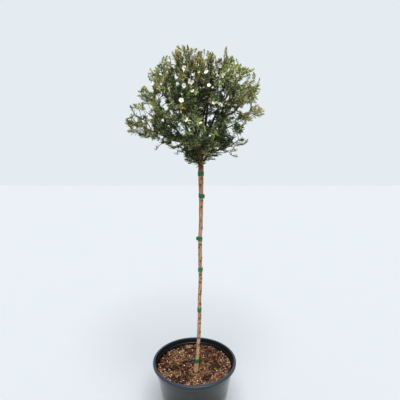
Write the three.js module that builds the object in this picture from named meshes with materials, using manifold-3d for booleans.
// A tea tree grown as a standard: one clear stem with a round, open head, in a nursery pot.
// Units are millimetres and +Z is up. The origin is the middle of the pot's flat underside,
// +X is the right of the plant and -Y is its front.

import * as THREE from "three";
import { mergeVertices } from "three/addons/utils/BufferGeometryUtils.js";
import Module from "manifold-3d";

const wasm = await Module();
wasm.setup();

// ---- Driving dimensions ------------------------------------------------------------------

const GAP = 0.4; // clearance kept between solids that touch
const DEGREE = Math.PI / 180;

const POT = {
  height: 176,
  rimRadius: 113, // outside of the rolled rim
  rimBand: 8, // height of the rolled rim
  rimWidth: 7, // how far the rim's roll reaches in from its outside
  collarRadius: 105.5, // outside of the collar under the rim
  collarHeight: 16, // from the rim's top down to the step in the wall
  stepWidth: 2.6, // how far the wall steps in under the collar
  baseRadius: 78.5,
  wall: 2.4,
  floor: 5,
  recess: 3, // the ring under the base that lets water away
  padRadius: 34, // flat middle of the underside
  footWidth: 12, // width of the ring that the pot stands on
  segments: 32,
};
const DRAIN = { count: 6, radius: 5, pitchRadius: 51, sides: 6 };

const SOIL = { level: 152, dish: 34, mound: 4, ripple: 1.6 };

// The stem's stations from the soil to the fork: height, where its middle is, and its radius.
const STEM = [
  { height: SOIL.level, x: 3.6, y: -15, radius: 5.2 },
  { height: 200, x: 8.6, y: -15.5, radius: 4.9 },
  { height: 260, x: 12.2, y: -16, radius: 4.8 },
  { height: 340, x: 13.6, y: -17, radius: 4.8 },
  { height: 415, x: 15.6, y: -17.5, radius: 5.0 },
  { height: 490, x: 14.8, y: -18.5, radius: 5.1 },
  { height: 560, x: 16.8, y: -19, radius: 5.3 },
  { height: 605, x: 18, y: -19.5, radius: 5.5 },
  { height: 650, x: 17.2, y: -20, radius: 6.2 },
  { height: 702, x: 17, y: -20, radius: 7.6 },
];
const FLARE = { radius: 2.6, height: 15 }; // what the root flare adds at the soil, and how fast it fades
const TRUNK = { sides: 10, rings: 18 };

const TIE = { heights: [182, 322, 430, 512, 624, 681], band: 11, thick: 1.1, slack: 0.9, segments: 10 };
const TAB = { length: 6, height: 8, thick: 1.2, turn: 137 }; // each tie's stapled end, turned on from the last

// The head. Tiers of masses ring its axis; pitch tips each mass upwards and outwards, and sway
// lifts a tier on the right and lowers it on the left, or the other way round where it is less
// than 0. Sizes are half lengths: out, round, up.
const AXIS = new THREE.Vector3(7, -22, 0);
const TIERS = {
  low: { count: 5, height: 776, sway: -6, reach: 81, size: [52, 48, 31], pitch: 34, turn: 48 },
  mid: { count: 6, height: 845, sway: 35, reach: 107, size: [62, 57, 51], pitch: 16, turn: 11 },
  high: { count: 5, height: 894, sway: 4, reach: 83, size: [56, 54, 44], pitch: 45, turn: 13 },
  crest: { count: 3, height: 926, sway: 0, reach: 36, size: [50, 47, 44], pitch: 76, turn: -7 },
};
const SKIRT = { reach: 13, turn: 205, height: 714, size: [23, 20, 14] };
// Long shoots that stand out past the head: right, low right, lowest right, left, back and upper left.
const SPRAYS = [
  { turn: -6, height: 828, reach: 140, size: [35, 15, 14], pitch: 22 },
  { turn: -24, height: 756, reach: 112, size: [29, 14, 12], pitch: 22 },
  { turn: 8, height: 742, reach: 84, size: [31, 13, 11], pitch: 18 },
  { turn: 184, height: 801, reach: 147, size: [34, 22, 27], pitch: 2 },
  { turn: 96, height: 842, reach: 148, size: [35, 17, 15], pitch: 24 },
  { turn: 176, height: 872, reach: 126, size: [31, 25, 25], pitch: 42 },
];
const UNEVEN = 0.13; // how far a mass's skin strays from a smooth egg, as a share of its size
const JITTER = { turn: 7, height: 7, reach: 5, size: 0.07 };
const MASS_DETAIL = 2;
const SPRAY_DETAIL = 1;

// Where each kind of bough leaves the wood it grew from. The leaders and the low boughs rise from
// the head of the stem, rise mm above its top. The mid and high ones fork from the nearest leader,
// at that height above the stem. The sprays fork from a low or mid bough, share of the way along.
const BOUGHS = {
  crest: { rise: -2, base: 4.2, tip: 2.0, sag: -0.03 },
  low: { rise: 1, base: 3.0, tip: 1.4, sag: 0 },
  mid: { rise: 20, base: 3.0, tip: 1.5, sag: -0.02 },
  high: { rise: 66, base: 2.4, tip: 1.5, sag: 0.02 },
  spray: { share: 0.4, base: 1.8, tip: 0.9, sag: 0.03 },
};
const BOUGH_SIDES = 5;
const BOUGH_RINGS = 4;

const COLOURS = {
  pot: new THREE.MeshStandardMaterial({ color: 0x2b2c2e, roughness: 0.48, metalness: 0 }),
  soil: new THREE.MeshStandardMaterial({ color: 0x5b4030, roughness: 0.95, metalness: 0 }),
  bark: new THREE.MeshStandardMaterial({ color: 0xa5815c, roughness: 0.85, metalness: 0 }),
  tie: new THREE.MeshStandardMaterial({ color: 0x2f7a4f, roughness: 0.5, metalness: 0 }),
  leaf: new THREE.MeshStandardMaterial({ color: 0x4a5734, roughness: 0.6, metalness: 0 }),
};

// ---- Small helpers -----------------------------------------------------------------------

const plant = new THREE.Group();

function closedMesh(geometry) {
  const bare = geometry.clone();
  bare.deleteAttribute("normal");
  bare.deleteAttribute("uv");
  return mergeVertices(bare, 1e-3);
}

function toSolid(geometry) {
  const merged = closedMesh(geometry);
  return new wasm.Manifold(
    new wasm.Mesh({
      numProp: 3,
      vertProperties: new Float32Array(merged.attributes.position.array),
      triVerts: new Uint32Array(merged.index.array),
    }),
  );
}

function toGeometry(solid) {
  const mesh = solid.getMesh();
  const geometry = new THREE.BufferGeometry();
  geometry.setAttribute("position", new THREE.BufferAttribute(mesh.vertProperties, 3));
  geometry.setIndex(new THREE.BufferAttribute(mesh.triVerts, 1));
  geometry.computeVertexNormals();
  return geometry;
}

// What is left of a solid once others are cut away: its largest piece.
function cutAway(solid, cutters) {
  const cut = cutters.reduce((left, cutter) => left.subtract(cutter), solid);
  return cut.decompose().reduce((most, piece) => (piece.volume() > most.volume() ? piece : most));
}

function place(name, solid, material, at = new THREE.Vector3()) {
  const mesh = new THREE.Mesh(toGeometry(solid.translate([-at.x, -at.y, -at.z])), material);
  mesh.name = name;
  mesh.position.copy(at);
  plant.add(mesh);
}

// A repeatable number from -1 to 1 for a whole-number seed.
function scatter(seed) {
  const wave = Math.sin(seed * 127.1 + 11.7) * 43758.5453;
  return 2 * (wave - Math.floor(wave)) - 1;
}

function outwards(turnDegrees) {
  return new THREE.Vector3(Math.cos(turnDegrees * DEGREE), Math.sin(turnDegrees * DEGREE), 0);
}

// A round limb along a curve: a cylinder whose rings are moved onto the curve and resized.
function limb(curve, radiusAt, sides, rings, swell = 0) {
  const tube = new THREE.CylinderGeometry(1, 1, 1, sides, rings);
  const frames = curve.computeFrenetFrames(rings, false);
  const position = tube.attributes.position;
  for (let i = 0; i < position.count; i++) {
    const share = position.getY(i) + 0.5;
    const ring = Math.round(share * rings);
    const point = curve.getPointAt(share);
    const radius = radiusAt(share, point.z) + swell;
    point.addScaledVector(frames.normals[ring], position.getX(i) * radius);
    point.addScaledVector(frames.binormals[ring], -position.getZ(i) * radius);
    position.setXYZ(i, point.x, point.y, point.z);
  }
  return toSolid(tube);
}

// ---- Pot and soil ------------------------------------------------------------------------

function revolve(profile) {
  const points = profile.map(([radius, height]) => new THREE.Vector2(radius, height));
  return toSolid(new THREE.LatheGeometry(points, POT.segments).rotateX(Math.PI / 2));
}

const SHOULDER = POT.height - POT.collarHeight;
const BODY_RADIUS = POT.collarRadius - POT.stepWidth; // outside of the wall just under the collar

function wallRadius(height) {
  return POT.baseRadius + ((BODY_RADIUS - POT.baseRadius) * height) / SHOULDER;
}

function potSolid() {
  const { height, rimRadius, rimBand, rimWidth, collarRadius, wall, floor, recess } = POT;
  const footInside = POT.baseRadius - POT.footWidth;
  const slope = 2;
  const roll = 1.6; // how much the rim's corners are rounded
  const shell = revolve([
    [0, 0],
    [POT.padRadius, 0],
    [POT.padRadius + slope, recess],
    [footInside - slope, recess],
    [footInside, 0],
    [wallRadius(0), 0],
    [wallRadius(SHOULDER - slope), SHOULDER - slope],
    [collarRadius - 0.6, SHOULDER + slope],
    [collarRadius, height - rimBand],
    [rimRadius - roll, height - rimBand + 0.6],
    [rimRadius, height - rimBand + 0.6 + roll],
    [rimRadius, height - roll],
    [rimRadius - roll, height],
    [rimRadius - rimWidth + roll, height],
    [rimRadius - rimWidth, height - roll],
    [collarRadius - wall - 0.6, SHOULDER + slope],
    [wallRadius(SHOULDER - slope) - wall, SHOULDER - slope],
    [wallRadius(floor + recess) - wall, floor + recess],
    [0, floor + recess],
  ]);
  const drill = toSolid(
    new THREE.CylinderGeometry(DRAIN.radius, DRAIN.radius, 4 * floor, DRAIN.sides).rotateX(Math.PI / 2),
  );
  const holes = [];
  for (let i = 0; i < DRAIN.count; i++) {
    const at = outwards((360 / DRAIN.count) * (i + 0.5)).multiplyScalar(DRAIN.pitchRadius);
    holes.push(drill.translate([at.x, at.y, 0]));
  }
  return cutAway(shell, holes);
}

function soilSolid(stem) {
  const bottom = POT.floor + POT.recess + GAP;
  const side = (height) => wallRadius(height) - POT.wall - GAP;
  const rings = [88, 64, 40, 18];
  const points = [[0, bottom], [side(bottom), bottom], [side(SOIL.level), SOIL.level]];
  rings.forEach((radius) => points.push([radius, SOIL.level]));
  points.push([0, SOIL.level]);
  const disc = new THREE.LatheGeometry(
    points.map(([radius, height]) => new THREE.Vector2(radius, height)),
    POT.segments,
  ).rotateX(Math.PI / 2);
  const position = disc.attributes.position;
  for (let i = 0; i < position.count; i++) {
    const [x, y, z] = [position.getX(i), position.getY(i), position.getZ(i)];
    if (z < SOIL.level - 1 || Math.hypot(x, y) > rings[0] + 1) continue;
    const away = Math.hypot(x - STEM[0].x, y - STEM[0].y) / SOIL.dish;
    const ripple = SOIL.ripple * Math.sin(x * 0.09 + 1) * Math.cos(y * 0.11);
    position.setZ(i, z + (SOIL.mound + ripple) * (1 - Math.exp(-away * away)));
  }
  return cutAway(toSolid(disc), [stem]);
}

// ---- Stem and ties -----------------------------------------------------------------------

const stemPoints = STEM.map(({ x, y, height }) => new THREE.Vector3(x, y, height));
const stemLine = new THREE.CatmullRomCurve3(stemPoints, false, "centripetal");
const foot = stemPoints[0];
const head = stemPoints[STEM.length - 1];

function stemRadius(height) {
  let next = STEM.findIndex((station) => station.height > height);
  if (next < 0) next = STEM.length - 1;
  const [below, above] = [STEM[Math.max(next - 1, 0)], STEM[next]];
  const share = THREE.MathUtils.clamp((height - below.height) / (above.height - below.height), 0, 1);
  const flare = FLARE.radius * Math.exp(-(height - foot.z) / FLARE.height);
  return below.radius + (above.radius - below.radius) * share + flare;
}

function stemSolid(swell = 0) {
  return limb(stemLine, (share, height) => stemRadius(height), TRUNK.sides, TRUNK.rings, swell);
}

function tieSolid(height, index) {
  const share = (height - foot.z) / (head.z - foot.z);
  const half = TIE.band / 2;
  const inside = Math.max(stemRadius(height - half), stemRadius(height + half)) + TIE.slack;
  const outside = inside + TIE.thick;
  const profile = [
    [outside, -half],
    [outside, half],
    [inside, half],
    [inside, -half],
    [outside, -half],
  ].map(([radius, z]) => new THREE.Vector2(radius, z));
  const ring = toSolid(new THREE.LatheGeometry(profile, TIE.segments).rotateX(Math.PI / 2));
  const tab = new THREE.BoxGeometry(TAB.length, TAB.thick, TAB.height);
  tab.translate(outside + TAB.length / 2 - TIE.thick / 2, 0, 0).rotateZ(TAB.turn * (index + 1) * DEGREE);
  const lean = new THREE.Quaternion().setFromUnitVectors(new THREE.Vector3(0, 0, 1), stemLine.getTangentAt(share));
  const tie = toGeometry(ring.add(toSolid(tab))).applyQuaternion(lean);
  const at = stemLine.getPointAt(share);
  return { solid: toSolid(tie).translate([at.x, at.y, at.z]), at };
}

// ---- Masses of foliage -------------------------------------------------------------------

// One mass: its middle, how it is turned, its half lengths and the seed of its uneven skin.
function massAt(name, { turn, height, reach, size, pitch, detail = MASS_DETAIL }, seed) {
  const turned = turn + JITTER.turn * scatter(seed);
  const out = outwards(turned);
  const middle = AXIS.clone().addScaledVector(out, reach + JITTER.reach * scatter(seed + 0.3));
  middle.z = height + JITTER.height * scatter(seed + 0.6);
  const along = out.clone().multiplyScalar(Math.cos(pitch * DEGREE));
  along.z = Math.sin(pitch * DEGREE);
  const round = new THREE.Vector3(-out.y, out.x, 0);
  const up = new THREE.Vector3().crossVectors(along, round);
  const grow = 1 + JITTER.size * scatter(seed + 0.8);
  return { name, seed, detail, middle, along, round, up, size: size.map((s) => s * grow), out };
}

function allMasses() {
  const masses = [];
  let seed = 21;
  for (const [tier, { count, height, sway, reach, size, pitch, turn }] of Object.entries(TIERS)) {
    for (let i = 0; i < count; i++) {
      const around = turn + (360 / count) * i;
      const lifted = height + sway * Math.cos(around * DEGREE);
      const mass = massAt(`mass_${tier}_${i + 1}`, { turn: around, height: lifted, reach, size, pitch }, seed++);
      masses.push({ ...mass, kind: tier, bough: tier === "crest" ? `leader_${i + 1}` : `bough_${tier}_${i + 1}` });
    }
  }
  SPRAYS.forEach((spray, i) => {
    const mass = massAt(`mass_spray_${i + 1}`, { ...spray, detail: SPRAY_DETAIL }, seed++);
    masses.push({ ...mass, kind: "spray", bough: `bough_spray_${i + 1}` });
  });
  masses.push({ ...massAt("mass_skirt", { pitch: 20, ...SKIRT, detail: SPRAY_DETAIL }, seed++), kind: "skirt" });
  return masses;
}

// How far the mass's skin lies from its middle in a direction: an uneven egg, held back to the
// planes between it and its neighbours, so that no two masses share any space.
function skin(mass, direction, neighbours) {
  const [a, b, c] = mass.size;
  const egg = 1 / Math.hypot(direction.dot(mass.along) / a, direction.dot(mass.round) / b, direction.dot(mass.up) / c);
  const { x, y, z } = direction;
  const s = mass.seed;
  const ripple = Math.sin(4.1 * x + 1.7 * s) + Math.sin(4.7 * y + 2.3 * s) + Math.sin(4.3 * z + 3.1 * s);
  let reach = egg * (1 + (UNEVEN * ripple) / 1.7);
  for (const other of neighbours) {
    const between = other.middle.clone().sub(mass.middle);
    const distance = between.length();
    const facing = direction.dot(between) / distance;
    if (facing <= 0) continue;
    const share = mean(mass.size) / (mean(mass.size) + mean(other.size));
    reach = Math.min(reach, (distance * share - GAP / 2) / facing);
  }
  return reach;
}

function mean(values) {
  return values.reduce((sum, value) => sum + value, 0) / values.length;
}

function massSolid(mass, neighbours, swell = 0) {
  const ball = closedMesh(new THREE.IcosahedronGeometry(1, mass.detail));
  const position = ball.attributes.position;
  const direction = new THREE.Vector3();
  for (let i = 0; i < position.count; i++) {
    direction.fromBufferAttribute(position, i).normalize();
    const reach = skin(mass, direction, neighbours) + swell;
    const point = mass.middle.clone().addScaledVector(direction, reach);
    position.setXYZ(i, point.x, point.y, point.z);
  }
  return toSolid(ball);
}

// ---- Boughs ------------------------------------------------------------------------------

// From inside the wood that it leaves to the mass's middle. made holds the lines so far, by kind.
function boughLine(mass, made) {
  const { rise, share, sag } = BOUGHS[mass.kind];
  let start = head.clone();
  if (mass.kind === "crest" || mass.kind === "low") {
    start.z += rise;
  } else {
    const parents = mass.kind === "spray" ? [...made.low, ...made.mid] : made.crest;
    const along = share ?? rise / (TIERS.crest.height - head.z);
    start = parents.map((line) => line.getPoint(along)).reduce((near, point) =>
      point.distanceTo(mass.middle) < near.distanceTo(mass.middle) ? point : near);
  }
  const bend = start.clone().lerp(mass.middle, 0.5);
  bend.z -= sag * start.distanceTo(mass.middle);
  return new THREE.QuadraticBezierCurve3(start, bend, mass.middle.clone());
}

function boughSolid(mass, line, swell = 0) {
  const { base, tip } = BOUGHS[mass.kind];
  const radiusAt = (share) => base + (tip - base) * share;
  return limb(line, radiusAt, BOUGH_SIDES, BOUGH_RINGS, swell);
}

// ---- Assembly ----------------------------------------------------------------------------

const stemWithGap = stemSolid(GAP);
place("pot", potSolid(), COLOURS.pot);
place("soil", soilSolid(stemWithGap), COLOURS.soil, new THREE.Vector3(0, 0, SOIL.level));
place("trunk", stemSolid(), COLOURS.bark, foot);
TIE.heights.forEach((height, i) => {
  const { solid, at } = tieSolid(height, i);
  place(`tie_${i + 1}`, solid, COLOURS.tie, at);
});

const masses = allMasses();
const others = (mass) => masses.filter((other) => other !== mass);
const carried = masses.filter((mass) => mass.bough);
const made = { crest: [], low: [], mid: [], high: [], spray: [] };
const cutters = []; // the stem and the boughs made so far, each a gap larger
cutters.push(stemWithGap);
for (const kind of Object.keys(made)) {
  for (const mass of carried.filter((other) => other.kind === kind)) {
    const line = boughLine(mass, made);
    made[kind].push(line);
    const end = massSolid(mass, others(mass), GAP);
    place(mass.bough, cutAway(boughSolid(mass, line), [...cutters, end]), COLOURS.bark, line.getPoint(0));
    cutters.push(boughSolid(mass, line, GAP).subtract(end));
  }
}
for (const mass of masses) {
  place(mass.name, cutAway(massSolid(mass, others(mass)), cutters), COLOURS.leaf, mass.middle);
}

export default plant;
